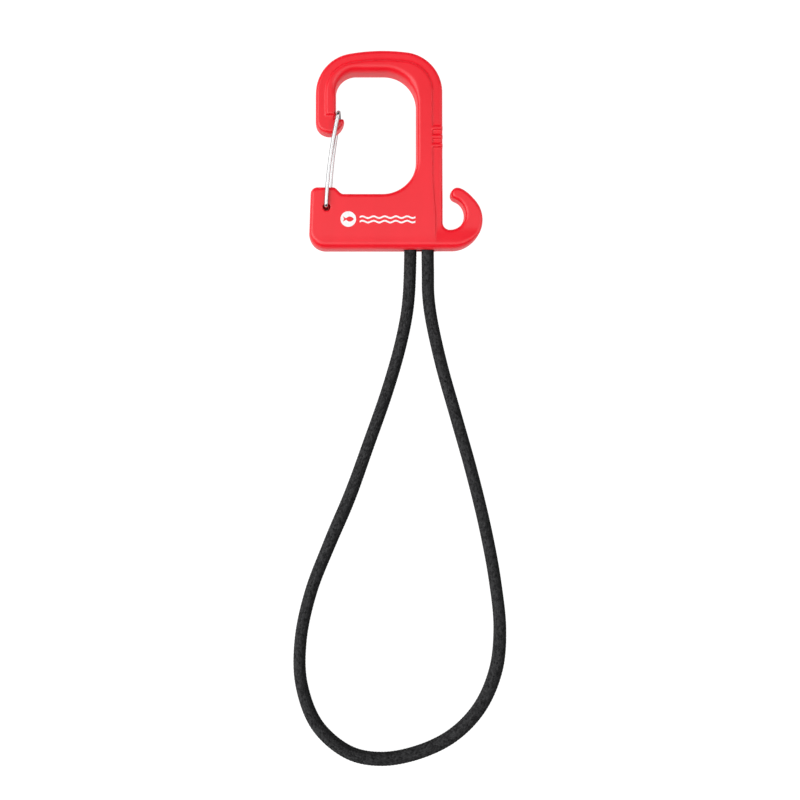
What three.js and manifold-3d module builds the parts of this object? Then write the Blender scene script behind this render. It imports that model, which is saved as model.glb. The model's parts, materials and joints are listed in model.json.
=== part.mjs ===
// A moulded snap hook with a sprung wire gate and a loop of bungee cord.
// Millimetres. The hook lies on its back: X runs across it, Y towards its top, Z out of its face.
// X and Y are zero at the middle of the hook, and Z is zero under the gate's rear leg.
import * as THREE from 'three';
import { mergeVertices } from 'three/addons/utils/BufferGeometryUtils.js';
import Module from 'manifold-3d';

const wasm = await Module();
wasm.setup();

// Driving dimensions
const clearance = 0.3;
const wireRadius = 0.8;
const bodyThickness = 10.4;
const rimStep = 0.7;
const edgeChamfer = 0.4;

const back = 2 * wireRadius + clearance;
const front = back + bodyThickness;
const rimBack = back + rimStep;
const rimFront = front - rimStep;

// The arch over the eye: one shallow crown arc between two haunch arcs, the left one a little lower
const arch = { leftX: -16.1, leftY: 23.15, rightX: 2.6, rightY: 23.6, haunchRadius: 16.5, crownRadius: 77.7 };
const rimWidth = 4.3;

// Where the raised face ends: down the base beside the side hook, and just above the gate's end bar
const raised = { baseRight: 16.2, baseY: -27, spineRight: 15, spineY: -12, noseBottom: 14.3 };

const eye = {
  left: -24.3, right: 8.6, top: 31.5, bottom: -17.7,
  topLeftRadius: 8.3, topRightRadius: 13.2, bottomRightRadius: 14,
};
const nose = {
  shoulderY: 12.2, bottomX: -26.6, bottomY: 6.6, roundness: 3.4, lipX: -20.9, lipTop: 12.8, lipRadius: 0.8,
};
const shoulder = { innerX: -21.6, topX: -25.2, top: -15, cornerX: -31.85, cornerRadius: 2.8 };
const base = { bottom: -40.3, cornerX: -28.4, cornerRadius: 6.8 };

// The open hook at the lower right that the cord snaps into. Its tip is a round end that touches the
// bowl's circle from outside, and a free curve leads to it from the outer arc.
const jHook = {
  x: 23.4, outerRadius: 12.1, outerEnd: 40, outerLead: 3.8,
  tipX: 25.1, tipY: -17.6, tipStart: 80, tipLead: 2.2,
  bowlX: 22.02, bowlY: -25.92, bowlRadius: 6.23,
  wallX: 19.25, wallRadius: 2.8,
};

const ticks = { firstY: 8.95, pitch: 3.6, count: 3, left: 14.4, right: 18.7, height: 1.4, drop: 0.1 };

// The gate swings about its front end; the end bar rests against the inside of the nose, above its lip.
// The rear leg sits a little nearer the spine, so its end moves along a short slot in the back.
const gate = {
  pivotX: -28.3, pivotY: -23.15, barX: -23.2, barY: 14.95, bow: 0.85, reach: 4, bendRadius: 1.3,
  rearPivotShift: 1.3, rearBarShift: 0.2, swing: 56,
};
const gateHole = { x: -28.1, y: -23.35, radius: 1.5, depth: 4.6, slotRadius: 1.15, slotSteps: 6 };

// Elastic cord and the pocket that holds its two crimped ends
const cord = { radius: 2.5, sheathInner: 2.0, coreRadius: 1.65, sides: 10, steps: 50 };
const cordLeftX = 6.2;
const cordRightX = 13.3;
const cordZ = 6.5;
const cordEndY = -27.3;
const crimp = { inner: 2.85, outer: 3.25, front: -36.4, length: 8, sides: 16 };
const chamber = { bottom: -36.7, top: -24.7, margin: 0.3 };
const cover = { thickness: 1, left: 1.5, right: 17.3, bottom: -37.3, top: -19.9, cornerRadius: 1.2 };
const pegs = { y: -22.3, xs: [4.6, 14.2], radius: 1, depth: 4 };

// The cord's route from one end to the other, chosen to lie as a relaxed loop on the surface
const cordRoute = [
  [cordLeftX, cordEndY, cordZ], [cordLeftX, -34, cordZ], [cordLeftX, -41, cordZ],
  [6.1, -49, 5.2], [5.8, -58, 3.3], [4.8, -67, 2.6], [1.8, -81, 2.6], [-3.5, -99, 2.6],
  [-10.9, -120, 2.6], [-18.5, -141, 2.6], [-27.0, -161, 2.6], [-34.7, -181, 2.6],
  [-38.9, -201, 2.6], [-38.5, -219, 2.6], [-31.9, -236, 2.6], [-19.0, -247, 2.6],
  [-5.9, -249.7, 2.6], [9.5, -247, 2.6], [23.9, -240, 2.6], [35.0, -228.5, 2.6],
  [41.7, -213, 2.6], [43.4, -196, 2.6], [41.4, -176, 2.6], [37.3, -154, 2.6],
  [31.7, -131, 2.6], [25.5, -109, 2.6], [19.3, -87, 2.6], [15.1, -68, 2.6],
  [13.8, -58, 3.3], [13.5, -49, 5.2], [cordRightX, -41, cordZ], [cordRightX, -34, cordZ],
  [cordRightX, cordEndY, cordZ],
];

const materials = {
  redPlastic: new THREE.MeshStandardMaterial({ color: 0xe8202c, roughness: 0.35, metalness: 0 }),
  steel: new THREE.MeshStandardMaterial({ color: 0xc9ccd0, roughness: 0.2, metalness: 1 }),
  wovenBlack: new THREE.MeshStandardMaterial({ color: 0x141416, roughness: 0.85, metalness: 0 }),
  rubber: new THREE.MeshStandardMaterial({ color: 0xb9b2a2, roughness: 0.7, metalness: 0 }),
  crimpMetal: new THREE.MeshStandardMaterial({ color: 0x9a9ca0, roughness: 0.35, metalness: 1 }),
};

const turn = THREE.MathUtils.degToRad;

function toSolid(geometry) {
  const bare = geometry.index ? geometry.toNonIndexed() : geometry.clone();
  bare.deleteAttribute('normal');
  bare.deleteAttribute('uv');
  const merged = mergeVertices(bare, 1e-4);
  return new wasm.Manifold(new wasm.Mesh({
    numProp: 3,
    vertProperties: merged.attributes.position.array,
    triVerts: new Uint32Array(merged.index.array),
  }));
}

function toGeometry(solid) {
  const mesh = solid.getMesh();
  const geometry = new THREE.BufferGeometry();
  geometry.setAttribute('position', new THREE.BufferAttribute(mesh.vertProperties, 3));
  geometry.setIndex(new THREE.BufferAttribute(mesh.triVerts, 1));
  geometry.computeVertexNormals();
  return geometry;
}

// The same outline as straight edges, with the doubled points where its arcs meet taken out
function facet(outline, segments) {
  const points = outline.getPoints(segments);
  return new THREE.Shape(points.filter((point, i) => point.distanceTo(points.at(i - 1)) > 0.05));
}

// An outline extruded from one height to another, with its edges cut back by a chamfer
function plate(outline, low, high, chamfer = 0) {
  const geometry = new THREE.ExtrudeGeometry(facet(outline, 7), {
    depth: high - low - 2 * chamfer,
    bevelEnabled: chamfer > 0,
    bevelThickness: chamfer,
    bevelSize: chamfer,
    bevelOffset: -chamfer,
    bevelSegments: 1,
  });
  return toSolid(geometry.translate(0, 0, low + chamfer));
}

function block([left, right], [near, far], [low, high]) {
  const geometry = new THREE.BoxGeometry(right - left, far - near, high - low);
  return toSolid(geometry.translate((left + right) / 2, (near + far) / 2, (low + high) / 2));
}

function pin(x, y, radius, low, high) {
  const geometry = new THREE.CylinderGeometry(radius, radius, high - low, 24);
  return toSolid(geometry.rotateX(Math.PI / 2).translate(x, y, (low + high) / 2));
}

function roundedRectangle(left, right, near, far, radius) {
  const outline = new THREE.Shape();
  outline.absarc(right - radius, near + radius, radius, turn(-90), 0);
  outline.absarc(right - radius, far - radius, radius, 0, turn(90));
  outline.absarc(left + radius, far - radius, radius, turn(90), turn(180));
  outline.absarc(left + radius, near + radius, radius, turn(180), turn(270));
  return outline;
}

// The top of the arch, right to left, moved inwards by an inset
function addArch(outline, inset) {
  const { leftX, leftY, rightX, rightY, haunchRadius, crownRadius } = arch;
  const reach = crownRadius - haunchRadius;
  const lean = Math.atan2(rightY - leftY, rightX - leftX);
  const spread = Math.asin(Math.hypot(rightX - leftX, rightY - leftY) / 2 / reach);
  const crownX = (leftX + rightX) / 2 + reach * Math.cos(spread) * Math.sin(lean);
  const crownY = (leftY + rightY) / 2 - reach * Math.cos(spread) * Math.cos(lean);
  const first = turn(90) + lean - spread;
  const last = turn(90) + lean + spread;
  outline.absarc(rightX, rightY, haunchRadius - inset, 0, first);
  outline.absarc(crownX, crownY, crownRadius - inset, first, last);
  outline.absarc(leftX, leftY, haunchRadius - inset, last, turn(180));
}

// The side hook, from the base's bottom edge round to the foot of the spine
function addSideHook(outline) {
  const j = jHook;
  const along = (angle, x, y, radius) => [x + radius * Math.cos(angle), y + radius * Math.sin(angle)];
  const outerY = base.bottom + j.outerRadius;
  const outerEnd = turn(j.outerEnd);
  const tipStart = turn(j.tipStart);
  const join = Math.atan2(j.tipY - j.bowlY, j.tipX - j.bowlX);
  const tipRadius = Math.hypot(j.tipX - j.bowlX, j.tipY - j.bowlY) - j.bowlRadius;
  outline.absarc(j.x, outerY, j.outerRadius, turn(-90), outerEnd);
  const [startX, startY] = along(outerEnd, j.x, outerY, j.outerRadius);
  const [endX, endY] = along(tipStart, j.tipX, j.tipY, tipRadius);
  outline.bezierCurveTo(
    startX - j.outerLead * Math.sin(outerEnd), startY + j.outerLead * Math.cos(outerEnd),
    endX + j.tipLead * Math.sin(tipStart), endY - j.tipLead * Math.cos(tipStart), endX, endY);
  outline.absarc(j.tipX, j.tipY, tipRadius, tipStart, join + turn(180));
  outline.absarc(j.bowlX, j.bowlY, j.bowlRadius, join, turn(-90), true);
  outline.absarc(j.wallX + j.wallRadius, j.bowlY - j.bowlRadius + j.wallRadius, j.wallRadius,
    turn(-90), turn(-180), true);
}

// Anticlockwise round the whole moulding: base, side hook, spine, arch, nose, eye and shoulder
function bodyOutline() {
  const outline = new THREE.Shape();
  outline.moveTo(base.cornerX, base.bottom);
  addSideHook(outline);
  addArch(outline, 0);

  const outerLeft = arch.leftX - arch.haunchRadius;
  outline.lineTo(outerLeft, nose.shoulderY);
  outline.bezierCurveTo(outerLeft, nose.shoulderY - nose.roundness,
    nose.bottomX - nose.roundness, nose.bottomY, nose.bottomX, nose.bottomY);
  const lipStart = nose.lipTop - nose.lipRadius;
  outline.bezierCurveTo(nose.bottomX + nose.roundness, nose.bottomY,
    nose.lipX, lipStart - nose.roundness / 2, nose.lipX, lipStart);
  outline.absarc(nose.lipX - nose.lipRadius, lipStart, nose.lipRadius, 0, turn(90));
  outline.lineTo(eye.left, nose.lipTop);

  const { topLeftRadius, topRightRadius, bottomRightRadius } = eye;
  outline.absarc(eye.left + topLeftRadius, eye.top - topLeftRadius, topLeftRadius,
    turn(180), turn(90), true);
  outline.absarc(eye.right - topRightRadius, eye.top - topRightRadius, topRightRadius,
    turn(90), 0, true);
  outline.absarc(eye.right - bottomRightRadius, eye.bottom + bottomRightRadius, bottomRightRadius,
    0, turn(-90), true);

  outline.lineTo(shoulder.innerX, eye.bottom);
  outline.lineTo(shoulder.topX, shoulder.top);
  outline.absarc(shoulder.cornerX, shoulder.top - shoulder.cornerRadius, shoulder.cornerRadius,
    turn(90), turn(180));
  outline.absarc(base.cornerX, base.bottom + base.cornerRadius, base.cornerRadius,
    turn(180), turn(270));
  return outline;
}

// The area that stands a step above the rim: the base and a band round the inside of the eye
function raisedArea() {
  const outside = 60;
  const area = new THREE.Shape();
  area.moveTo(-outside, -outside);
  area.lineTo(raised.baseRight, -outside);
  area.lineTo(raised.baseRight, raised.baseY);
  area.lineTo(raised.spineRight, raised.spineY);
  addArch(area, rimWidth);
  area.lineTo(arch.leftX - arch.haunchRadius + rimWidth, raised.noseBottom);
  area.lineTo(0, raised.noseBottom);
  area.lineTo(0, 0);
  area.lineTo(-outside, 0);
  return area;
}

function makeBody() {
  const outline = bodyOutline();
  const face = plate(outline, back, front, edgeChamfer).intersect(plate(raisedArea(), -1, front + 1));
  let body = plate(outline, rimBack, rimFront, edgeChamfer).add(face);

  for (let i = 0; i < ticks.count; i += 1) {
    const y = ticks.firstY - i * ticks.pitch;
    const span = [y - ticks.height / 2, y + ticks.height / 2];
    body = body.add(block([ticks.left, ticks.right], span, [back + ticks.drop, front - ticks.drop]));
  }

  return new THREE.Mesh(toGeometry(cutPocket(cutGateHoles(body))), materials.redPlastic);
}

// A round hole in the front, and a slot in the back that follows the swing of the rear end
function cutGateHoles(body) {
  const { x, y, radius, depth, slotRadius, slotSteps } = gateHole;
  let solid = body.subtract(pin(x, y, radius, front - depth, front + 1));
  for (let i = 0; i <= slotSteps; i += 1) {
    const angle = turn((-gate.swing * i) / slotSteps);
    const slotX = gate.pivotX + gate.rearPivotShift * Math.cos(angle);
    const slotY = gate.pivotY + gate.rearPivotShift * Math.sin(angle);
    solid = solid.subtract(pin(slotX, slotY, slotRadius, back - 1, back + depth));
  }
  return solid;
}

// The pocket opens at the back; the cord comes in through a slot in the bottom edge
function cutPocket(body) {
  const throat = cord.radius + clearance;
  const room = crimp.outer + chamber.margin;
  const slot = roundedRectangle(cordLeftX - throat, cordRightX + throat,
    cordZ - throat, cordZ + throat, throat - 0.01);
  const slotGeometry = new THREE.ExtrudeGeometry(facet(slot, 5), { depth: 10, bevelEnabled: false });
  slotGeometry.rotateX(Math.PI / 2).translate(0, chamber.bottom + 1, 0);

  const ledge = back + cover.thickness + clearance;
  const recess = roundedRectangle(cover.left - clearance, cover.right + clearance,
    cover.bottom - clearance, cover.top + clearance, cover.cornerRadius + clearance);
  const cuts = [
    toSolid(slotGeometry),
    block([cordLeftX - room, cordRightX + room], [chamber.bottom, chamber.top], [0, cordZ + room]),
    plate(recess, 0, ledge),
    ...pegs.xs.map((x) => pin(x, pegs.y, pegs.radius + clearance, 0, ledge + pegs.depth)),
  ];
  return cuts.reduce((solid, cut) => solid.subtract(cut), body);
}

function makeCover() {
  const { left, right, bottom, top, cornerRadius, thickness } = cover;
  const outline = roundedRectangle(left, right, bottom, top, cornerRadius);
  let solid = plate(outline, back, back + thickness);
  for (const x of pegs.xs) {
    solid = solid.add(pin(x, pegs.y, pegs.radius, back + thickness / 2, back + thickness + pegs.depth));
  }
  return new THREE.Mesh(toGeometry(solid), materials.redPlastic);
}

// One leg of the gate, from the pivot to the end bar, bowed a little outwards
function gateLeg(z, pivotShift, barShift) {
  const pivot = new THREE.Vector3(gate.pivotX + pivotShift, gate.pivotY, z);
  const bar = new THREE.Vector3(gate.barX + barShift, gate.barY, z);
  const along = bar.clone().sub(pivot).normalize();
  const outwards = new THREE.Vector3(-along.y, along.x, 0);
  const control = pivot.clone().add(bar).multiplyScalar(0.5).addScaledVector(outwards, 2 * gate.bow);
  return new THREE.QuadraticBezierCurve3(pivot, control, bar);
}

// The wire runs from the hole in the front, up, across and down to the slot in the back
function gatePath() {
  const frontLeg = gateLeg(front + clearance + wireRadius, 0, 0);
  const rearLeg = gateLeg(wireRadius, gate.rearPivotShift, gate.rearBarShift);
  const down = (point, depth) => point.clone().add(new THREE.Vector3(0, 0, depth));
  const halves = [[frontLeg, -1], [rearLeg, 1]].map(([leg, inwards]) => {
    const bend = gate.bendRadius / leg.getLength();
    const straight = [0, 0.2, 0.4, 0.6, 0.8, 1].map((t) => leg.getPoint(bend + t * (1 - 2 * bend)));
    const [pivot, bar] = [leg.getPoint(0), leg.getPoint(1)];
    return {
      tail: down(pivot, inwards * gate.reach),
      tailTop: down(pivot, inwards * gate.bendRadius),
      pivot, straight, bar,
      barEnd: down(bar, inwards * gate.bendRadius),
    };
  });
  const [a, b] = halves;
  const path = new THREE.CurvePath();
  const line = (from, to) => path.add(new THREE.LineCurve3(from, to));
  const corner = (from, at, to) => path.add(new THREE.QuadraticBezierCurve3(from, at, to));
  line(a.tail, a.tailTop);
  corner(a.tailTop, a.pivot, a.straight[0]);
  path.add(new THREE.CatmullRomCurve3(a.straight));
  corner(a.straight.at(-1), a.bar, a.barEnd);
  line(a.barEnd, b.barEnd);
  corner(b.barEnd, b.bar, b.straight.at(-1));
  path.add(new THREE.CatmullRomCurve3([...b.straight].reverse()));
  corner(b.straight[0], b.pivot, b.tailTop);
  line(b.tailTop, b.tail);
  return path;
}

function circle(radius) {
  return new THREE.Shape().absarc(0, 0, radius, 0, turn(360));
}

function makeGate() {
  const geometry = new THREE.ExtrudeGeometry(circle(wireRadius), {
    steps: 130, curveSegments: 4, bevelEnabled: false, extrudePath: gatePath(),
  });
  return new THREE.Mesh(geometry, materials.steel);
}

function alongCord(section) {
  const points = cordRoute.map((point) => new THREE.Vector3(...point));
  return new THREE.ExtrudeGeometry(section, {
    steps: cord.steps,
    curveSegments: cord.sides / 2,
    bevelEnabled: false,
    extrudePath: new THREE.CatmullRomCurve3(points, false, 'centripetal'),
  });
}

function makeSheath() {
  const section = circle(cord.radius);
  section.holes.push(new THREE.Path().absarc(0, 0, cord.sheathInner, 0, turn(360), true));
  return new THREE.Mesh(alongCord(section), materials.wovenBlack);
}

function makeCore() {
  return new THREE.Mesh(alongCord(circle(cord.coreRadius)), materials.rubber);
}

function makeCrimp(x) {
  const { inner, outer, length } = crimp;
  const ring = [[inner, 0], [outer, 0], [outer, length], [inner, length], [inner, 0]];
  const profile = ring.map(([radius, height]) => new THREE.Vector2(radius, height));
  const mesh = new THREE.Mesh(new THREE.LatheGeometry(profile, crimp.sides), materials.crimpMetal);
  mesh.position.set(x, crimp.front, cordZ);
  return mesh;
}

const pieces = {
  hook_body: makeBody(),
  back_cover: makeCover(),
  gate_wire: makeGate(),
  cord_sheath: makeSheath(),
  cord_core: makeCore(),
  crimp_left: makeCrimp(cordLeftX),
  crimp_right: makeCrimp(cordRightX),
};

const snapHook = new THREE.Group();
for (const [name, mesh] of Object.entries(pieces)) {
  mesh.name = name;
  snapHook.add(mesh);
}

export default snapHook;
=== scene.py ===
"""Looks of a moulded snap hook with a sprung wire gate and a loop of bungee cord.

Shapes are worked out in millimetres, in the frame's own axes, and turned into metres when a mesh
is made. The hook lies on its back: X runs across it, Y towards its top, Z out of its face.
"""

import json
import math

import bpy
import numpy as np
from mathutils import Matrix, Vector


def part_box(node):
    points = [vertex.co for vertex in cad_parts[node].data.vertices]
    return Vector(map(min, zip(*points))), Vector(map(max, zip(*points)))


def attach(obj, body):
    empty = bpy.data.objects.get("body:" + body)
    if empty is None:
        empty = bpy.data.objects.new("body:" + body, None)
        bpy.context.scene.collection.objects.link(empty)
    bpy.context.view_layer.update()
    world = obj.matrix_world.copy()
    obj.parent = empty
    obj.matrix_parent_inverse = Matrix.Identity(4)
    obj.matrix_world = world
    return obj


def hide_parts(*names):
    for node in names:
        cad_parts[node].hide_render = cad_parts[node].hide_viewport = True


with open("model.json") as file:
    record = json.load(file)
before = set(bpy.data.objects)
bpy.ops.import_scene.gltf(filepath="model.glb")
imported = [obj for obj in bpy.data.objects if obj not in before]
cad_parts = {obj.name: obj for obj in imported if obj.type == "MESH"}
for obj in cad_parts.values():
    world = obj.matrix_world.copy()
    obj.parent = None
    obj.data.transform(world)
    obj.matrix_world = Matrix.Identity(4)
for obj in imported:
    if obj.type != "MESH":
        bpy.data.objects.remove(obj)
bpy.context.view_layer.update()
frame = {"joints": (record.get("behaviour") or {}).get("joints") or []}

MM = 0.001


def corners(node):
    """Lowest and highest corner of a CAD node, in millimetres."""
    return [np.array(corner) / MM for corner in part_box(node)]


# Sizes from the frame
BODY_LOW, BODY_HIGH = corners("hook_body")
BACK, FRONT = BODY_LOW[2], BODY_HIGH[2]
MIDDLE = (BACK + FRONT) / 2
HALF_THICK = (FRONT - BACK) / 2
COVER_LOW, COVER_HIGH = corners("back_cover")
CRIMP_LOW, CRIMP_HIGH = corners("crimp_left")
PIVOT = np.array(frame["joints"][0]["pos_m"]) / MM

# Sizes that the frame doesn't hold
CLEARANCE = 0.3
WIRE_RADIUS = 0.8
REAR_SHIFT = 1.3       # how far the gate's rear end stands off its pivot
BODY_LEFT = -32.6
RIM_STEP = 0.7
RIM_WIDTH = 4.3
EDGE_RADIUS = 1.3
PEG_X = (4.6, 14.2)
PEG_Y = -22.3
PEG_RADIUS = 1.0
PARTING = BACK + 0.4 * (FRONT - BACK)
CORD_RADIUS = 2.5
CORD_BORE = 2.0
CORD_X = (6.2, 13.3)
CORD_Z = 6.5

# The cord's route from one end to the other
CORD_ROUTE = [
    (6.2, -27.3, 6.5), (6.2, -34, 6.5), (6.2, -41, 6.5), (6.1, -49, 5.2), (5.8, -58, 3.3),
    (4.8, -67, 2.6), (1.8, -81, 2.6), (-3.5, -99, 2.6), (-10.9, -120, 2.6), (-18.5, -141, 2.6),
    (-27.0, -161, 2.6), (-34.7, -181, 2.6), (-38.9, -201, 2.6), (-38.5, -219, 2.6),
    (-31.9, -236, 2.6), (-19.0, -247, 2.6), (-5.9, -249.7, 2.6), (9.5, -247, 2.6),
    (23.9, -240, 2.6), (35.0, -228.5, 2.6), (41.7, -213, 2.6), (43.4, -196, 2.6),
    (41.4, -176, 2.6), (37.3, -154, 2.6), (31.7, -131, 2.6), (25.5, -109, 2.6), (19.3, -87, 2.6),
    (15.1, -68, 2.6), (13.8, -58, 3.3), (13.5, -49, 5.2), (13.3, -41, 6.5), (13.3, -34, 6.5),
    (13.3, -27.3, 6.5),
]

scene = bpy.context.scene


# ---------------------------------------------------------------- camera

def make_camera():
    """Straight above, left of the hook's middle, with a little shift to hold the loop in view."""
    height, field = 480, 324
    centre_x, centre_y, shift = -24.6, -101.5, 0.081
    data = bpy.data.cameras.new("camera")
    data.sensor_width = 36
    data.lens = data.sensor_width * height / field
    data.shift_x = shift
    data.clip_start = 10 * MM
    camera = bpy.data.objects.new("camera", data)
    camera.location = (centre_x * MM, centre_y * MM, (FRONT + height) * MM)
    scene.collection.objects.link(camera)
    scene.camera = camera


make_camera()


# ---------------------------------------------------------------- mesh tools

def make_object(name, points, faces, smooth=True):
    """A mesh object from points in millimetres."""
    mesh = bpy.data.meshes.new(name)
    faces = [list(map(int, face)) for face in faces]
    mesh.from_pydata((np.asarray(points) * MM).tolist(), [], faces)
    mesh.polygons.foreach_set("use_smooth", [smooth] * len(mesh.polygons))
    mesh.update()
    thing = bpy.data.objects.new(name, mesh)
    scene.collection.objects.link(thing)
    return thing


def smooth_route(route, per_span):
    """A centripetal Catmull-Rom curve through a route's points."""
    points = np.array(route, float)
    points = np.vstack([2 * points[0] - points[1], points, 2 * points[-1] - points[-2]])
    curve = []
    for p0, p1, p2, p3 in zip(points, points[1:], points[2:], points[3:]):
        t1 = np.linalg.norm(p1 - p0) ** 0.5
        t2 = t1 + np.linalg.norm(p2 - p1) ** 0.5
        t3 = t2 + np.linalg.norm(p3 - p2) ** 0.5
        t = np.linspace(t1, t2, per_span, endpoint=False)[:, None]
        a1 = (t1 - t) / t1 * p0 + t / t1 * p1
        a2 = (t2 - t) / (t2 - t1) * p1 + (t - t1) / (t2 - t1) * p2
        a3 = (t3 - t) / (t3 - t2) * p2 + (t - t2) / (t3 - t2) * p3
        b1 = (t2 - t) / t2 * a1 + t / t2 * a2
        b2 = (t3 - t) / (t3 - t1) * a2 + (t - t1) / (t3 - t1) * a3
        curve.append((t2 - t) / (t2 - t1) * b1 + (t - t1) / (t2 - t1) * b2)
    return np.vstack([*curve, points[-2:-1]])


def distances(points):
    """How far along a line each of its points is."""
    return np.concatenate([[0], np.cumsum(np.linalg.norm(np.diff(points, axis=0), axis=1))])


def even_points(points, count):
    """The same line with its points evenly spaced."""
    along = distances(points)
    at = np.linspace(0, along[-1], count)
    return np.stack([np.interp(at, along, points[:, k]) for k in range(3)], axis=1)


def ring_frames(points):
    """Two directions across the line at each point, which turn as little as they can."""
    tangents = np.gradient(points, axis=0)
    tangents /= np.linalg.norm(tangents, axis=1)[:, None]
    normal = np.array([1.0, 0, 0])
    normals = []
    for tangent in tangents:
        normal = normal - normal @ tangent * tangent
        normal /= np.linalg.norm(normal)
        normals.append(normal)
    normals = np.array(normals)
    return normals, np.cross(tangents, normals)


def ring_points(points, sides, radius):
    """Rings of points round a line; radius is a number or an array of rings by sides."""
    across, up = ring_frames(points)
    angle = np.linspace(0, 2 * math.pi, sides, endpoint=False)[None, :, None]
    radius = np.broadcast_to(radius, (len(points), sides))[..., None]
    circle = np.cos(angle) * across[:, None] + np.sin(angle) * up[:, None]
    return points[:, None] + radius * circle


def ring_faces(rings, sides, first=0, flip=False):
    """Quads between rings that follow each other."""
    ring, side = np.meshgrid(np.arange(rings - 1), np.arange(sides), indexing="ij")
    after = (side + 1) % sides
    quad = np.stack([ring * sides + side, ring * sides + after,
                     (ring + 1) * sides + after, (ring + 1) * sides + side], axis=-1)
    quad = quad.reshape(-1, 4) + first
    return quad[:, ::-1] if flip else quad


def tube_faces(rings, inner_rings, sides):
    """Faces of an outer and an inner surface of rings, joined at both ends."""
    first = rings * sides
    last_out, last_in = first - sides, first + (inner_rings - 1) * sides
    side = np.arange(sides)
    after = (side + 1) % sides
    return np.vstack([
        ring_faces(rings, sides), ring_faces(inner_rings, sides, first, flip=True),
        np.stack([first + side, first + after, after, side], axis=1),
        np.stack([last_out + side, last_out + after, last_in + after, last_in + side], axis=1),
    ])


def solid_rod(name, points, sides, radius):
    """A rod along a line, closed at both ends."""
    rings = ring_points(points, sides, radius)
    faces = ring_faces(len(points), sides).tolist()
    last = (len(points) - 1) * sides
    faces += [list(range(sides))[::-1], list(range(last, last + sides))]
    return make_object(name, rings.reshape(-1, 3), faces)


# ---------------------------------------------------------------- fields
# A field holds a signed distance at each point of a grid, in millimetres and negative inside.

TINY = 1e-12           # an outline's step whose square is shorter than this is skipped
FLATTEST = 1e-6        # least square of a field's slope that a point may follow
LONGEST_MOVE = 0.4     # how far a point may move towards the surface at a time, in grid steps


def smooth_min(a, b, width):
    """The lower of two fields, with their crossing rounded over this width."""
    near = np.maximum(width - np.abs(a - b), 0)
    return np.minimum(a, b) - near * near / (4 * width)


def smooth_max(a, b, width):
    """The higher of two fields, with their crossing rounded over this width."""
    return -smooth_min(-a, -b, width)


def smooth_ramp(value, low, high):
    """From 0 at the low value to 1 at the high one."""
    t = np.clip((value - low) / (high - low), 0, 1)
    return t * t * (3 - 2 * t)


def outline_field(outline, x, y):
    """Signed distance to a closed outline."""
    nearest = np.full(x.shape, np.inf)
    inside = np.zeros(x.shape, bool)
    for start, end in zip(outline, np.roll(outline, -1, axis=0)):
        run = end - start
        if run @ run < TINY:
            continue
        from_x, from_y = x - start[0], y - start[1]
        t = np.clip((from_x * run[0] + from_y * run[1]) / (run @ run), 0, 1)
        nearest = np.minimum(nearest, (from_x - t * run[0]) ** 2 + (from_y - t * run[1]) ** 2)
        spans = (start[1] > y) != (end[1] > y)
        if spans.any():
            inside ^= spans & (from_x < from_y * run[0] / run[1])
    return np.where(inside, -1, 1) * np.sqrt(nearest)


def span_field(value, low, high):
    """Signed distance to the room between two planes."""
    return np.abs(value - (low + high) / 2) - (high - low) / 2


def cross_field(a, b, rounding):
    """What lies inside two fields at right angles to each other, with a rounded edge."""
    a, b = a + rounding, b + rounding
    both = np.minimum(np.maximum(a, b), 0)
    return both + np.hypot(np.maximum(a, 0), np.maximum(b, 0)) - rounding


def slab(across, z, low, high, rounding):
    """What lies inside an outline's field between two heights, with rounded edges."""
    return cross_field(across, span_field(z, low, high), rounding)


def rectangle_field(x, y, left, right, near, far, rounding):
    """Signed distance to a rectangle with rounded corners."""
    return cross_field(span_field(x, left, right), span_field(y, near, far), rounding)


def grid(low, high, step):
    """Coordinates of a grid's points along each axis, ready to be combined."""
    axes = [np.arange(a, b + s, s) for a, b, s in zip(low, high, step)]
    return np.meshgrid(*axes, indexing="ij", sparse=True)


def sample(values, places):
    """Values of a grid at places between its points, given in grid steps."""
    base = np.clip(np.floor(places).astype(int), 0, np.array(values.shape) - 2)
    part = places - base
    total = 0
    for corner in np.ndindex(2, 2, 2):
        weight = np.prod(np.where(corner, part, 1 - part), axis=1)
        total = total + weight * values[tuple((base + corner).T)]
    return total


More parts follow.
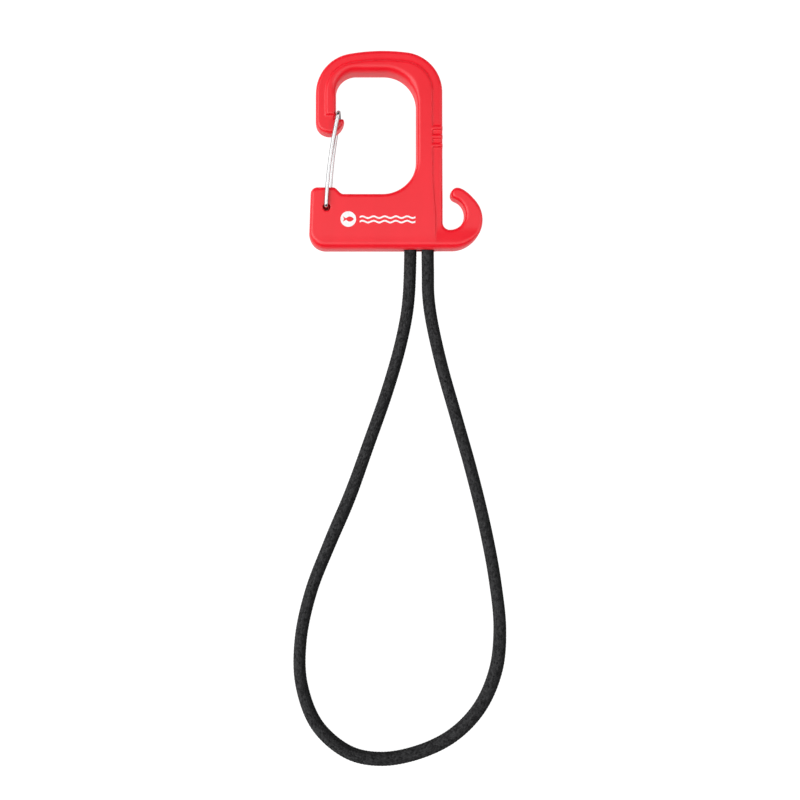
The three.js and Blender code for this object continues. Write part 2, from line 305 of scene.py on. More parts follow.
def field_object(name, field, low, step):
    """The zero surface of a field as a mesh of quads, with its exact normals."""
    field = np.ascontiguousarray(field, dtype=float)
    size = field.size
    inside = field < 0
    totals, counts, quads = np.zeros((size, 3)), np.zeros(size), []
    for axis in range(3):
        lower = [slice(None)] * 3
        upper = [slice(None)] * 3
        lower[axis], upper[axis] = slice(None, -1), slice(1, None)
        place = np.argwhere(inside[tuple(lower)] != inside[tuple(upper)])
        beyond = place.copy()
        beyond[:, axis] += 1
        here, there = field[tuple(place.T)], field[tuple(beyond.T)]
        crossing = place.astype(float)
        crossing[:, axis] += here / (here - there)
        cells = []
        for shift_u, shift_v in ((0, 0), (1, 0), (1, 1), (0, 1)):
            cell = place.copy()
            cell[:, (axis + 1) % 3] -= shift_u
            cell[:, (axis + 2) % 3] -= shift_v
            flat = np.ravel_multi_index(tuple(cell.T), field.shape)
            cells.append(flat)
            counts += np.bincount(flat, minlength=size)
            for k in range(3):
                totals[:, k] += np.bincount(flat, crossing[:, k], size)
        quad = np.stack(cells, axis=1)
        quads.append(np.where((here < 0)[:, None], quad, quad[:, ::-1]))
    quads = np.vstack(quads)
    used = np.flatnonzero(counts)
    places = totals[used] / counts[used, None]
    slopes = np.gradient(field)
    for _ in range(2):
        slope = np.stack([sample(s, places) for s in slopes], axis=1)
        steep = np.maximum((slope ** 2).sum(axis=1), FLATTEST)
        move = -(sample(field, places) / steep)[:, None] * slope
        places = places + np.clip(move, -LONGEST_MOVE, LONGEST_MOVE)
    normals = np.stack([sample(s, places) for s in slopes], axis=1) / step
    normals /= np.linalg.norm(normals, axis=1)[:, None]
    number = np.zeros(size, int)
    number[used] = np.arange(len(used))
    thing = make_object(name, places * step + low, number[quads])
    thing.data.normals_split_custom_set_from_vertices(normals.tolist())
    return thing


# ---------------------------------------------------------------- hook body

def arc(x, y, radius, start, end, count=24):
    """Points of an arc between two angles in degrees."""
    angle = np.radians(np.linspace(start, end, count))
    return np.stack([x + radius * np.cos(angle), y + radius * np.sin(angle)], axis=1)


def bezier(*handles, count=24):
    """A Bezier curve of any order."""
    t = np.linspace(0, 1, count)[:, None]
    order = len(handles) - 1
    terms = [math.comb(order, k) * t ** k * (1 - t) ** (order - k) * np.array(h, float)
             for k, h in enumerate(handles)]
    return sum(terms)


def arch(inset):
    """The top of the eye, right to left: one shallow crown arc between two haunch arcs."""
    left, right = np.array([-16.1, 23.15]), np.array([2.6, 23.6])
    haunch, crown = 16.5, 77.7
    reach = crown - haunch
    span = right - left
    lean = math.atan2(span[1], span[0])
    spread = math.asin(math.hypot(*span) / 2 / reach)
    down = np.array([math.sin(lean), -math.cos(lean)])
    middle = (left + right) / 2 + reach * math.cos(spread) * down
    first, last = (90 + math.degrees(lean + side * spread) for side in (-1, 1))
    return [
        arc(*right, haunch - inset, 0, first),
        arc(*middle, crown - inset, first, last),
        arc(*left, haunch - inset, last, 180),
    ]


def towards(degrees):
    """A step of length 1 in the hook's plane."""
    return np.array([math.cos(math.radians(degrees)), math.sin(math.radians(degrees))])


def side_hook(bottom):
    """The open hook at the lower right, from the bottom edge round to the foot of the spine."""
    outer_radius, bowl_radius, wall_radius = 12.1, 6.23, 2.8
    outer = np.array([23.4, bottom + outer_radius])
    tip, bowl = np.array([25.1, -17.6]), np.array([22.02, -25.92])
    outer_end, tip_start, wall_x = 40, 80, 19.25
    across = tip - bowl
    join = math.degrees(math.atan2(across[1], across[0]))
    tip_radius = math.hypot(*across) - bowl_radius
    start, end = outer + outer_radius * towards(outer_end), tip + tip_radius * towards(tip_start)
    lead, trail = start + 3.8 * towards(outer_end + 90), end + 2.2 * towards(tip_start - 90)
    return np.vstack([
        arc(*outer, outer_radius, -90, outer_end, 40),
        bezier(start, lead, trail, end),
        arc(*tip, tip_radius, tip_start, join + 180),
        arc(*bowl, bowl_radius, join, -90, 36),
        arc(wall_x + wall_radius, bowl[1] - bowl_radius + wall_radius, wall_radius, -90, -180),
    ])


def body_outline():
    """Anticlockwise round the moulding: base, side hook, spine, arch, nose, eye and shoulder."""
    bottom, corner_radius, shoulder_radius = -40.3, 6.8, 2.8
    eye_left, eye_right, eye_top, eye_bottom = -24.3, 8.6, 31.5, -17.7
    top_left, top_right, bottom_right = 8.3, 13.2, 14
    nose_x, nose_y, nose_top, round_nose = -26.6, 6.6, 12.2, 3.4
    lip_x, lip_top, lip_radius = -20.9, 12.8, 0.8
    return np.vstack([
        side_hook(bottom),
        *arch(0),
        bezier((BODY_LEFT, nose_top), (BODY_LEFT, nose_top - round_nose),
               (nose_x - round_nose, nose_y), (nose_x, nose_y)),
        bezier((nose_x, nose_y), (nose_x + round_nose, nose_y),
               (lip_x, lip_top - lip_radius - round_nose / 2), (lip_x, lip_top - lip_radius)),
        arc(lip_x - lip_radius, lip_top - lip_radius, lip_radius, 0, 90, 12),
        [(eye_left, lip_top)],
        arc(eye_left + top_left, eye_top - top_left, top_left, 180, 90),
        arc(eye_right - top_right, eye_top - top_right, top_right, 90, 0),
        arc(eye_right - bottom_right, eye_bottom + bottom_right, bottom_right, 0, -90, 30),
        bezier((-21.2, eye_bottom), (-23, eye_bottom), (-23.7, -15), (-25.5, -15)),
        arc(-31.85, -17.8, shoulder_radius, 90, 180),
        arc(-28.4, bottom + corner_radius, corner_radius, 180, 270),
    ])


def raised_outline():
    """Where the face stands a step above the rim: the base and a band round the eye."""
    outside, base_right, spine_right, nose_end = 60, 16.2, 15, 14.3
    return np.vstack([
        [(-outside, -outside), (base_right, -outside), (base_right, -27), (spine_right, -12)],
        *arch(RIM_WIDTH),
        [(BODY_LEFT + RIM_WIDTH, nose_end), (0, nose_end), (0, 0), (-outside, 0)],
    ])


def tick_field(x, y, z, rounded):
    """Three short bars across the rim of the spine, as high as the raised face."""
    left, right, half_width, sunk, proud = 14.2, 24, 0.7, 0.1, 0.05
    bars = np.inf
    for tick_y in (8.95, 5.35, 1.75):
        bar = rectangle_field(x, y, left, right, tick_y - half_width, tick_y + half_width, 0.1)
        bars = np.minimum(bars, slab(bar, z, BACK + sunk, FRONT - sunk, 0.15))
    return smooth_max(bars, rounded - proud, 0.1)


def gate_hole_field(x, y, z):
    """The round hole in the front and the short curved slot in the back."""
    hole_x, hole_y, hole_radius, slot_radius = -28.1, -23.35, 1.5, 1.15
    depth, outside, edge = 4.6, 4, 0.3
    hole = slab(np.hypot(x - hole_x, y - hole_y) - hole_radius,
                z, FRONT - depth, FRONT + outside, edge)
    angle = np.clip(np.arctan2(y - PIVOT[1], x - PIVOT[0]), -math.pi / 3, 0)
    slot_x = PIVOT[0] + REAR_SHIFT * np.cos(angle)
    slot_y = PIVOT[1] + REAR_SHIFT * np.sin(angle)
    slot = slab(np.hypot(x - slot_x, y - slot_y) - slot_radius,
                z, BACK - outside, BACK + depth, edge)
    return np.minimum(hole, slot)


def pocket_field(x, y, z):
    """The slot in the bottom edge, the room for the crimps, and the cover's ledge and peg holes."""
    outside, slot_end, chamber_near, chamber_far = 4, -35.7, -36.7, -24.7
    ledge_depth, hole_depth, edge = 1.3, 5.3, 0.1
    across = np.maximum(span_field(x, *CORD_X), 0)
    slot = np.maximum(np.hypot(across, z - CORD_Z) - CORD_RADIUS - CLEARANCE, y - slot_end)
    room = CRIMP_HIGH[0] - CORD_X[0] + CLEARANCE
    chamber = slab(rectangle_field(x, y, CORD_X[0] - room, CORD_X[1] + room,
                                   chamber_near, chamber_far, 0.5),
                   z, BACK - outside, CORD_Z + room, 0.5)
    ledge = slab(rectangle_field(x, y, COVER_LOW[0] - CLEARANCE, COVER_HIGH[0] + CLEARANCE,
                                 COVER_LOW[1] - CLEARANCE, COVER_HIGH[1] + CLEARANCE, 1.5),
                 z, BACK - outside, BACK + ledge_depth, edge)
    pocket = np.minimum(np.minimum(slot, chamber), ledge)
    for peg_x in PEG_X:
        hole = slab(np.hypot(x - peg_x, y - PEG_Y) - PEG_RADIUS - CLEARANCE,
                    z, BACK - outside, BACK + hole_depth, edge)
        pocket = np.minimum(pocket, hole)
    return pocket


def ejector_field(x, y, z):
    """Shallow round marks that the mould's ejector pins leave on the back."""
    marks, depth = np.inf, 0.12
    for mark_x, mark_y, radius in ((-14, -29, 2), (-28, 22, 1.6), (-7, 34.3, 1.6), (12, 12, 1.6)):
        mark = np.maximum(np.hypot(x - mark_x, y - mark_y) - radius, z - BACK - depth)
        marks = np.minimum(marks, mark)
    return marks


def make_body():
    """The moulding: a lower rim, a raised face on both sides, and everything cut out of them."""
    step, margin = np.array([0.32, 0.32, 0.26]), 0.9
    low = BODY_LOW - margin
    x, y, z = grid(low, BODY_HIGH + margin, step)
    flat_x, flat_y = np.broadcast_arrays(x[..., 0], y[..., 0])
    edge = outline_field(body_outline(), flat_x, flat_y)[..., None]
    raised = outline_field(raised_outline(), flat_x, flat_y)[..., None]
    # The walls lean in from the parting line, which leaves a fine ridge round the body
    lean, ridge, ridge_width = 0.02, 0.05, 0.2
    draft = lean * np.abs(z - PARTING) - ridge * np.exp(-((z - PARTING) / ridge_width) ** 2)
    edge = edge + ridge + draft
    # The front edge is rounded more softly under the arch and along the bottom of the base
    arch_softness, base_softness = 1.5, 1.2
    under_arch = arch_softness * smooth_ramp(y, 21, 29) * smooth_ramp(-raised, 0, 2)
    along_base = base_softness * smooth_ramp(-y, 33, 37.5)
    soft = EDGE_RADIUS + (under_arch + along_base) * (z > MIDDLE)
    # The rim rises to the raised face towards the bottom of the base
    drop = RIM_STEP * smooth_ramp(y, -39, -31)
    rim = slab(edge, z, BACK + drop, FRONT - drop, soft)
    rounded = slab(edge, z, BACK, FRONT, soft)
    # The step up to the raised face slopes by this much for each millimetre of its height
    slope = 0.6
    depth = HALF_THICK - np.abs(z - MIDDLE)
    raised = (raised + slope * (RIM_STEP / 2 - depth)) / math.hypot(1, slope)
    body = smooth_min(rim, smooth_max(rounded, raised, 0.3), 0.4)
    body = smooth_min(body, tick_field(x, y, z, rounded), 0.2)
    for cut in (gate_hole_field(x, y, z), pocket_field(x, y, z), ejector_field(x, y, z)):
        body = smooth_max(body, -cut, 0.25)
    return field_object("moulded_body", body, low, step)


def make_cover():
    """The plate over the pocket, with two pegs and a thumbnail notch to lift it by."""
    step, margin = np.array([0.2, 0.2, 0.16]), 0.6
    thick, corner, edge = 1, 1.2, 0.2
    low = COVER_LOW - margin
    x, y, z = grid(low, COVER_HIGH + margin, step)
    across = rectangle_field(x, y, COVER_LOW[0], COVER_HIGH[0], COVER_LOW[1], COVER_HIGH[1], corner)
    cover = slab(across, z, BACK, BACK + thick, edge)
    for peg_x in PEG_X:
        peg = slab(np.hypot(x - peg_x, y - PEG_Y) - PEG_RADIUS, z, BACK + 0.3, COVER_HIGH[2], 0.3)
        cover = smooth_min(cover, peg, edge)
    notch_x, stretch, ring, tube = 9.4, 1.6, 0.2, 0.7
    around = np.hypot((x - notch_x) / stretch, y - COVER_LOW[1])
    notch = np.hypot(around - ring, z - BACK) - tube
    return field_object("pocket_cover", smooth_max(cover, -notch, edge), low, step)


# ---------------------------------------------------------------- wire gate

def gate_leg(z, pivot_shift, bar_shift):
    """One leg from the pivot to the end bar, bowed a little outwards."""
    bar_x, bar_y, bow = -23.2, 14.95, 1.7
    pivot = np.array([PIVOT[0] + pivot_shift, PIVOT[1], z])
    bar = np.array([bar_x + bar_shift, bar_y, z])
    along = (bar - pivot) / np.linalg.norm(bar - pivot)
    control = (pivot + bar) / 2 + bow * np.array([-along[1], along[0], 0])
    return bezier(pivot, control, bar, count=200)


def make_gate():
    """The gate's wire: two legs joined by the end bar, with their other ends turned inwards."""
    rings, sides, reach, bend = 460, 28, 4, 1.5
    halves = []
    for leg, inwards in ((gate_leg(FRONT + CLEARANCE + WIRE_RADIUS, 0, 0), -1),
                         (gate_leg(WIRE_RADIUS, REAR_SHIFT, 0.2), 1)):
        along = distances(leg)
        straight = leg[(along > bend) & (along < along[-1] - bend)]
        into = np.array([0, 0, inwards])
        tail = bezier(leg[0] + reach * into, leg[0] + bend * into, count=20)
        lower = bezier(leg[0] + bend * into, leg[0], straight[0], count=16)
        upper = bezier(straight[-1], leg[-1], leg[-1] + bend * into, count=16)
        halves.append(np.vstack([tail, lower[1:], straight[1:], upper[1:]]))
    wire = even_points(np.vstack([halves[0], halves[1][::-1]]), rings)
    along = distances(wire)
    from_end = np.minimum(along, along[-1] - along)
    # Both ends are rounded off over this length, down to a small flat
    length, worn = 0.35, 0.35
    radius = WIRE_RADIUS * np.sqrt(1 - worn * np.maximum(1 - from_end / length, 0) ** 2)
    return solid_rod("gate", wire, sides, radius[:, None])


# ---------------------------------------------------------------- cord

STRANDS = 16          # woven strands that cross the cord each way
SIDES = 4 * STRANDS
RINGS = 1440
INNER_RINGS = 60
RINGS_PER_STRAND = 4


def weave_height(around, along):
    """Height of the weave, 0 to 1: each strand goes over two and under two that cross it."""
    flank, dip = 0.9, 0.8
    one, two = around + along, around - along
    row, column = np.round(one), np.round(two)
    over = np.mod(row + column, 4) < 2
    across = np.where(over, one - row, two - column)
    beside = np.where(over, two - column, one - row)
    # Where the next crossing is hidden under this strand, it doesn't dip
    parity = np.mod(row + column, 2)
    dips = (beside > 0) == (parity > 0)
    return np.cos(math.pi * across * flank) * np.where(dips, np.cos(math.pi * beside * dip), 1)


def cord_swell(line):
    """How much thicker than nominal the cord is at each point of its line: 0.1 is a tenth.

    It swells round the lower right of the loop and a little half way down its left side.
    """
    bend, side, side_at, side_reach = 0.11, 0.08, 127, 18
    along = distances(line)
    bend = bend * smooth_ramp(along, 190, 230) * smooth_ramp(-along, -345, -310)
    return bend + side * np.exp(-((along - side_at) / side_reach) ** 2)


def make_cord(line):
    """The woven sleeve: an outer surface of crossing strands and a plain inner one."""
    around = np.arange(SIDES) / SIDES * STRANDS
    along = (np.arange(RINGS) / RINGS_PER_STRAND)[:, None]
    # The strands' crowns stand above the cord's nominal radius, so that the mean comes near it
    deep, crown = 0.16, CORD_RADIUS + 0.07
    outer_line = even_points(line, RINGS)
    radius = crown - deep + deep * weave_height(around[None], along)
    outer = ring_points(outer_line, SIDES, radius * (1 + cord_swell(outer_line)[:, None]))
    inner = ring_points(even_points(line, INNER_RINGS), SIDES, CORD_BORE)
    cord = make_object("woven_cord", np.vstack([outer.reshape(-1, 3), inner.reshape(-1, 3)]),
                       tube_faces(RINGS, INNER_RINGS, SIDES))
    add_cord_map(cord)
    return cord


def add_cord_map(cord):
    """A map that counts strands round the cord and along it."""
    mesh = cord.data
    corner = np.zeros(len(mesh.loops), int)
    mesh.loops.foreach_get("vertex_index", corner)
    ring = corner // SIDES
    # The inner surface has fewer rings, each of which counts for many outer ones
    inner_ring = (ring - RINGS) * (RINGS - 1) / (INNER_RINGS - 1)
    ring = np.where(ring < RINGS, ring, inner_ring)
    side = (corner % SIDES).reshape(-1, 4)
    # On the quads that close each ring, side 0 counts as one past the last side
    closing = (side.max(axis=1) - side.min(axis=1) > SIDES / 2)[:, None] & (side == 0)
    side = np.where(closing, SIDES, side).ravel()
    places = np.stack([side / SIDES * STRANDS, ring / RINGS_PER_STRAND], axis=1)
    mesh.uv_layers.new(name="weave").data.foreach_set("uv", places.astype(np.float32).ravel())


def make_core(line):
    """The bundle of rubber threads inside the sleeve."""
    threads, turns, sides, rings = 12, 5, 48, 320
    middle, flute = 1.56, 0.08
    angle = np.linspace(0, 2 * math.pi, sides, endpoint=False)
    twist = np.linspace(0, turns * 2 * math.pi, rings)[:, None]
    radius = middle + flute * np.cos(threads * angle[None] + twist)
    return solid_rod("rubber_core", even_points(line, rings), sides, radius)


def make_crimp(number):
    """A short metal tube pressed on in two bands, with rolled lips."""
    sides, rings = 48, 60
    inner, outer, lip_depth, lip_length = 2.78, 3.25, 0.12, 0.03
    band_depth, band_width, jaws, jaw_depth = 0.16, 0.09, 6, 0.06
    along = np.linspace(0, 1, rings)[:, None]
    angle = np.linspace(0, 2 * math.pi, sides, endpoint=False)[None]
    pressed = sum(np.exp(-((along - place) / band_width) ** 2) for place in (0.32, 0.68))
    pressed = pressed * (band_depth + jaw_depth * np.cos(jaws * angle))
    lip = lip_depth * np.maximum(0, 1 - np.minimum(along, 1 - along) / lip_length) ** 2
    line = np.zeros((rings, 3))
    line[:, 0], line[:, 2] = CORD_X[number], CORD_Z
    line[:, 1] = CRIMP_LOW[1] + along[:, 0] * (CRIMP_HIGH[1] - CRIMP_LOW[1])
    outside = ring_points(line, sides, outer - pressed - lip)
    inside = ring_points(line, sides, inner - 0.6 * pressed + lip)
    name = ("crimp_ring_left", "crimp_ring_right")[number]
    return make_object(name, np.vstack([outside.reshape(-1, 3), inside.reshape(-1, 3)]),
                       tube_faces(rings, rings, sides))


# ---------------------------------------------------------------- printed mark

def make_print():
    """A generic fish in a disc and two wavy lines, printed in white on the base."""
    disc_x, disc_y, disc_radius = -19.3, -28.2, 3.15
    wave_left, wave_right, wave_length, wave_height, half_stroke = -14.7, 7.9, 4.52, 0.35, 0.35
    fish = np.vstack([
        bezier((2.3, 0), (0.8, 1.9), (-0.9, 0.3)), [(-2.2, 1.1), (-1.7, 0), (-2.2, -1.1)],
        bezier((-0.9, -0.3), (0.8, -1.9), (2.3, 0)),
    ])
    outlines = [arc(disc_x, disc_y, disc_radius, 0, 354, 60), fish + (disc_x, disc_y)]
    x = np.linspace(wave_left, wave_right, 120)
    for wave_y in (-27.45, -29.25):
        y = wave_y + wave_height * np.sin((x - x[0]) * 2 * math.pi / wave_length)
        outlines.append(np.vstack([np.stack([x, y + half_stroke], 1),
                                   np.stack([x, y - half_stroke], 1)[::-1]]))
    drawing = bpy.data.curves.new("printed_mark", "CURVE")
    drawing.dimensions, drawing.fill_mode = "2D", "BOTH"
    drawing.extrude = 0.02 * MM
    for outline in outlines:
        spline = drawing.splines.new("POLY")
        spline.points.add(len(outline) - 1)
        spline.use_cyclic_u = True
        for point, (px, py) in zip(spline.points, outline * MM):
            point.co = (px, py, 0, 1)
    holder = bpy.data.objects.new("drawing", drawing)
    scene.collection.objects.link(holder)
    bpy.context.view_layer.update()
    evaluated = holder.evaluated_get(bpy.context.evaluated_depsgraph_get())
    mesh = bpy.data.meshes.new_from_object(evaluated)
    bpy.data.objects.remove(holder)
    mesh.transform(Matrix.Translation((0, 0, FRONT * MM)))
    thing = bpy.data.objects.new("printed_mark", mesh)
    scene.collection.objects.link(thing)
    return thing


# ---------------------------------------------------------------- materials

class Finish:
    """A material with short ways to add its nodes."""

    def __init__(self, name, **sockets):
        self.material = bpy.data.materials.new(name)
        self.material.use_nodes = True
        self.tree = self.material.node_tree
        self.shader = self.tree.nodes["Principled BSDF"]
        for socket, value in sockets.items():
            self.socket(socket).default_value = value

    def socket(self, name):
        """A socket of the shader, by its name in small letters."""
        return self.shader.inputs[name.replace("_", " ").title().replace("Ior", "IOR")]

    def node(self, kind, **settings):
        """A new node with these settings."""
        node = self.tree.nodes.new(kind)
        for key, value in settings.items():
            setattr(node, key, value)
        return node

    def link(self, value, socket):
        """Puts a number or another node's output into a socket."""
        if isinstance(value, (int, float, tuple)):
            socket.default_value = value
        else:
            self.tree.links.new(value, socket)

    def math(self, operation, a, b=0.0):
        """Arithmetic on one or two values."""
        node = self.node("ShaderNodeMath", operation=operation)
        self.link(a, node.inputs[0])
        self.link(b, node.inputs[1])
        return node.outputs[0]

    def facing(self):
        """The direction that the surface faces, in the object's own axes."""
        return self.node("ShaderNodeTexCoord").outputs["Normal"]

    def place(self, stretch=(1, 1, 1)):
        """The point on the object, stretched along each axis."""
        where = self.node("ShaderNodeTexCoord").outputs["Object"]
        mapping = self.node("ShaderNodeMapping")
        mapping.inputs["Scale"].default_value = stretch
        self.link(where, mapping.inputs["Vector"])
        return mapping.outputs[0]

    def noise(self, size, detail=2.0, stretch=(1, 1, 1)):
        """Cloudy noise, 0 to 1, with features about this many millimetres across."""
        node = self.node("ShaderNodeTexNoise")
        node.inputs["Scale"].default_value = 1 / (size * MM)
        node.inputs["Detail"].default_value = detail
        self.link(self.place(stretch), node.inputs["Vector"])
        return node.outputs[0]

    def ranged(self, value, low, high, from_low=0.3, from_high=0.7):
        """Maps a value from one range to another and keeps it there."""
        node = self.node("ShaderNodeMapRange")
        for number, socket in zip((value, from_low, from_high, low, high), node.inputs):
            self.link(number, socket)
        return node.outputs[0]

    def blend(self, factor, a, b):
        """A colour between two colours."""
        node = self.node("ShaderNodeMix", data_type="RGBA")
        for value, socket in zip((factor, a, b), (node.inputs[0], node.inputs[6], node.inputs[7])):
            self.link(value, socket)
        return node.outputs[2]

    def bump(self, height, depth, under=None):
        """Raises the surface by a height from 0 to 1, times this many millimetres."""
        node = self.node("ShaderNodeBump")
        node.inputs["Distance"].default_value = depth * MM
        self.link(height, node.inputs["Height"])
        if under:
            self.link(under, node.inputs["Normal"])
        return node.outputs[0]

    def use(self, **values):
        """Puts values into the shader's sockets."""
        for socket, value in values.items():
            self.link(value, self.socket(socket))
        return self.material


def red_plastic():
    """Satin moulded plastic: fine spark texture, more matt on its sides, and faint flow marks."""
    finish = Finish("red_plastic", ior=1.4, specular_ior_level=0.72)
    deep, bright = (0.83, 0.0052, 0.0165, 1), (0.89, 0.0066, 0.0205, 1)
    flow = finish.noise(14, 3, (1, 0.4, 1))
    grain = finish.noise(0.16, 2)
    colour = finish.blend(finish.ranged(flow, 0, 1), deep, bright)
    rough = finish.math("ADD", finish.ranged(flow, 0.3, 0.36), finish.ranged(grain, -0.03, 0.03))
    normal = finish.bump(finish.noise(3.5, 2), 0.006, finish.bump(grain, 0.0035))
    facing = finish.node("ShaderNodeSeparateXYZ")
    finish.link(finish.facing(), facing.inputs[0])
    matt = finish.ranged(finish.math("ABSOLUTE", facing.outputs[2]), 0.2, 0.0, 0.1, 0.4)
    return finish.use(base_color=colour, roughness=finish.math("ADD", rough, matt), normal=normal)


def polished_steel():
    """Bright drawn wire with faint lines along it."""
    finish = Finish("polished_steel", metallic=1.0, specular_tint=(0.15, 0.15, 0.16, 1))
    dull, bright = (0.52, 0.52, 0.53, 1), (0.6, 0.6, 0.6, 1)
    lines = finish.noise(0.12, 3, (1, 0.03, 1))
    stains = finish.noise(4, 3)
    colour = finish.blend(finish.ranged(stains, 0, 1), dull, bright)
    rough = finish.ranged(lines, 0.14, 0.22)
    return finish.use(base_color=colour, roughness=rough, normal=finish.bump(lines, 0.004))


def woven_black():
    """Black polyester yarn along the weave's strands, painted paler on its upper left side and
    darker towards its flanks, as painted light and shade; on the lit side the strands vary at
    random in tone.
    """
    finish = Finish("woven_black", specular_ior_level=0.06)
    black, grey = (0.004, 0.004, 0.0043, 1), (0.06, 0.06, 0.062, 1)
    painted_light_direction, filament_count = (-0.66, 0, 0.75), 5
    weave = finish.node("ShaderNodeUVMap", uv_map="weave")
    split = finish.node("ShaderNodeSeparateXYZ")
    finish.link(weave.outputs[0], split.inputs[0])
    around, along = split.outputs[0], split.outputs[1]
    one, two = finish.math("ADD", around, along), finish.math("SUBTRACT", around, along)
    row, column = finish.math("ROUND", one), finish.math("ROUND", two)
    quarter = finish.math("FRACT", finish.math("MULTIPLY", finish.math("ADD", row, column), 0.25))
    over = finish.math("LESS_THAN", quarter, 0.49)
    # The yarn's filaments run along whichever strand is on top
    across = finish.math("ADD", finish.math("MULTIPLY", one, over),
                         finish.math("MULTIPLY", two, finish.math("SUBTRACT", 1.0, over)))
    filaments = finish.math("SINE", finish.math("MULTIPLY", across, 2 * math.pi * filament_count))
    strand = finish.node("ShaderNodeCombineXYZ")
    finish.link(row, strand.inputs[0])
    finish.link(column, strand.inputs[1])
    random = finish.node("ShaderNodeTexWhiteNoise", noise_dimensions="3D")
    finish.link(strand.outputs[0], random.inputs["Vector"])
    fuzz = finish.noise(0.4, 3)
    # Painted light and shade: the side that faces up and to the left is painted paler, and the cord
    # fades to black towards its flanks, as light from the upper left would fall on it.
    facing = finish.node("ShaderNodeVectorMath", operation="DOT_PRODUCT")
    finish.link(finish.facing(), facing.inputs[0])
    facing.inputs[1].default_value = painted_light_direction
    upper = finish.math("POWER", finish.ranged(facing.outputs["Value"], 0.25, 1.0, -0.5, 0.95), 2.5)
    patches = finish.math("MULTIPLY", finish.ranged(fuzz, 0, 1, 0.38, 0.62), 0.6)
    spread = finish.math("ADD", finish.math("MULTIPLY", random.outputs[0], 0.75), patches)
    # The strands' random tone and the fuzzy patches show only where this painted light falls;
    # elsewhere the yarn stays black.
    colour = finish.blend(finish.math("MULTIPLY", upper, spread), black, grey)
    normal = finish.bump(fuzz, 0.12, finish.bump(filaments, 0.03))
    return finish.use(base_color=colour, roughness=finish.ranged(fuzz, 0.6, 0.85), normal=normal)


def rubber_strands():
    """Pale natural rubber threads dusted with talc."""
    finish = Finish("rubber_strands")
    rubber, talc = (0.5, 0.4, 0.26, 1), (0.72, 0.66, 0.55, 1)
    dust = finish.noise(0.8, 4, (1, 0.3, 1))
    colour = finish.blend(finish.ranged(dust, 0, 1), rubber, talc)
    return finish.use(base_color=colour, roughness=finish.ranged(dust, 0.55, 0.85),
                      normal=finish.bump(dust, 0.03))


def crimp_metal():
    """Plain pressed aluminium with rub marks round it."""
    finish = Finish("crimp_metal", metallic=1.0)
    dull, bright = (0.5, 0.5, 0.51, 1), (0.74, 0.74, 0.75, 1)
    rubs = finish.noise(0.3, 4, (0.3, 3, 0.3))
    colour = finish.blend(finish.ranged(rubs, 0, 1), dull, bright)
    return finish.use(base_color=colour, roughness=finish.ranged(rubs, 0.25, 0.45),
                      normal=finish.bump(rubs, 0.01))


def white_ink():
    """Pad-printed ink, very slightly uneven."""
    finish = Finish("white_ink")
    thin, full = (0.86, 0.85, 0.85, 1), (0.95, 0.95, 0.95, 1)
    cover = finish.noise(0.5, 3)
    colour = finish.blend(finish.ranged(cover, 0, 1), thin, full)
    return finish.use(base_color=colour, roughness=finish.ranged(cover, 0.4, 0.5))


# ---------------------------------------------------------------- studio

def make_floor():
    """A white table that glows a little, as a lit product table does."""
    half = 50000
    points = [(-half, -half, 0), (half, -half, 0), (half, half, 0), (-half, half, 0)]
    floor = make_object("floor", points, [(0, 1, 2, 3)], smooth=False)
    finish = Finish("white_table", base_color=(0.1, 0.1, 0.1, 1), roughness=0.8,
                    emission_color=(1, 1, 1, 1), emission_strength=1.0)
    floor.data.materials.append(finish.material)


def make_softbox(name, direction, distance, size, power):
    """A square area light that faces the hook."""
    data = bpy.data.lights.new(name, "AREA")
    data.shape, data.size, data.energy = "SQUARE", size, power
    light = bpy.data.objects.new(name, data)
    direction = Vector(direction).normalized()
    light.location = direction * distance
    light.rotation_euler = direction.to_track_quat("Z", "Y").to_euler()
    scene.collection.objects.link(light)


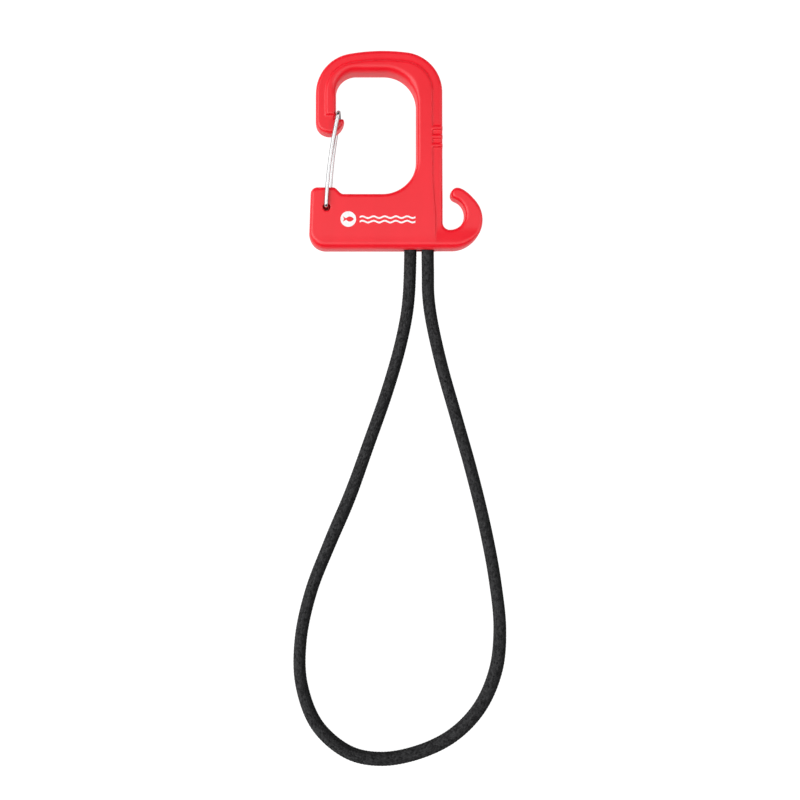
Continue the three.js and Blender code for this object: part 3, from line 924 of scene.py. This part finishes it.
def make_dome():
    """A dark room with a broad soft light straight overhead and a pale band round the horizon."""
    world = bpy.data.worlds.new("overhead")
    world.use_nodes = True
    nodes, links = world.node_tree.nodes, world.node_tree.links
    split = nodes.new("ShaderNodeSeparateXYZ")
    links.new(nodes.new("ShaderNodeTexCoord").outputs["Generated"], split.inputs[0])

    def fade(axis, numbers):
        """Strength along an axis of the sky.

        The numbers are where the change starts and ends, and the strengths there.
        """
        node = nodes.new("ShaderNodeMapRange")
        node.interpolation_type = "SMOOTHSTEP"
        links.new(split.outputs[axis], node.inputs[0])
        for number, socket in zip(numbers, node.inputs[1:5]):
            socket.default_value = number
        return node.outputs[0]

    def combine(operation, a, b):
        """Arithmetic on two strengths."""
        node = nodes.new("ShaderNodeMath")
        node.operation = operation
        links.new(a, node.inputs[0])
        links.new(b, node.inputs[1])
        return node.outputs[0]

    overhead = fade("Z", (0.5, 0.85, 0.04, 1.9))
    near, far = fade("Y", (-0.55, -0.22, 0.04, 1.0)), fade("Y", (0.34, 0.05, 0.05, 1.0))
    horizon = fade("Z", (0.22, 0.12, 0.0, 1.0))
    overhead = combine("MULTIPLY", combine("MULTIPLY", overhead, near), far)
    links.new(combine("ADD", overhead, horizon), nodes["Background"].inputs["Strength"])
    nodes["Background"].inputs["Color"].default_value = (1, 1, 1, 1)
    scene.world = world


# ---------------------------------------------------------------- everything together

def finish_piece(thing, body, slot, material, *nodes):
    """Gives a piece its body and its finish, and hides the CAD nodes that it stands for."""
    thing.data.materials.clear()
    thing.data.materials.append(material)
    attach(thing, body)
    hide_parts(*nodes)
    return thing


cord_line = smooth_route(CORD_ROUTE, 60)
# The curve doesn't dip below the lowest point of its route
cord_line[:, 2] = np.maximum(cord_line[:, 2], min(z for _, _, z in CORD_ROUTE))
# It rises where the cord swells, so that the cord still lies on the floor
cord_line[:, 2] += CORD_RADIUS * cord_swell(cord_line)
cord = finish_piece(make_cord(cord_line), "hook", "woven_black", woven_black(), "cord_sheath")
core = finish_piece(make_core(cord_line), "hook", "rubber_strands", rubber_strands(), "cord_core")
crimp_finish = crimp_metal()
crimps = [finish_piece(make_crimp(number), "hook", "crimp_metal", crimp_finish, node)
          for number, node in enumerate(("crimp_left", "crimp_right"))]

plastic = red_plastic()
finish_piece(make_body(), "hook", "red_plastic", plastic, "hook_body")
finish_piece(make_cover(), "hook", "red_plastic", plastic, "back_cover")
finish_piece(make_gate(), "gate", "polished_steel", polished_steel(), "gate_wire")
finish_piece(make_print(), "hook", None, white_ink())

make_floor()
make_dome()
make_softbox("left_softbox", (-0.68, 0, 0.75), distance=1.2, size=1.1, power=10)
make_softbox("right_softbox", (0.76, 0, 0.65), distance=1.3, size=0.9, power=3)
scene.view_settings.view_transform = "Standard"
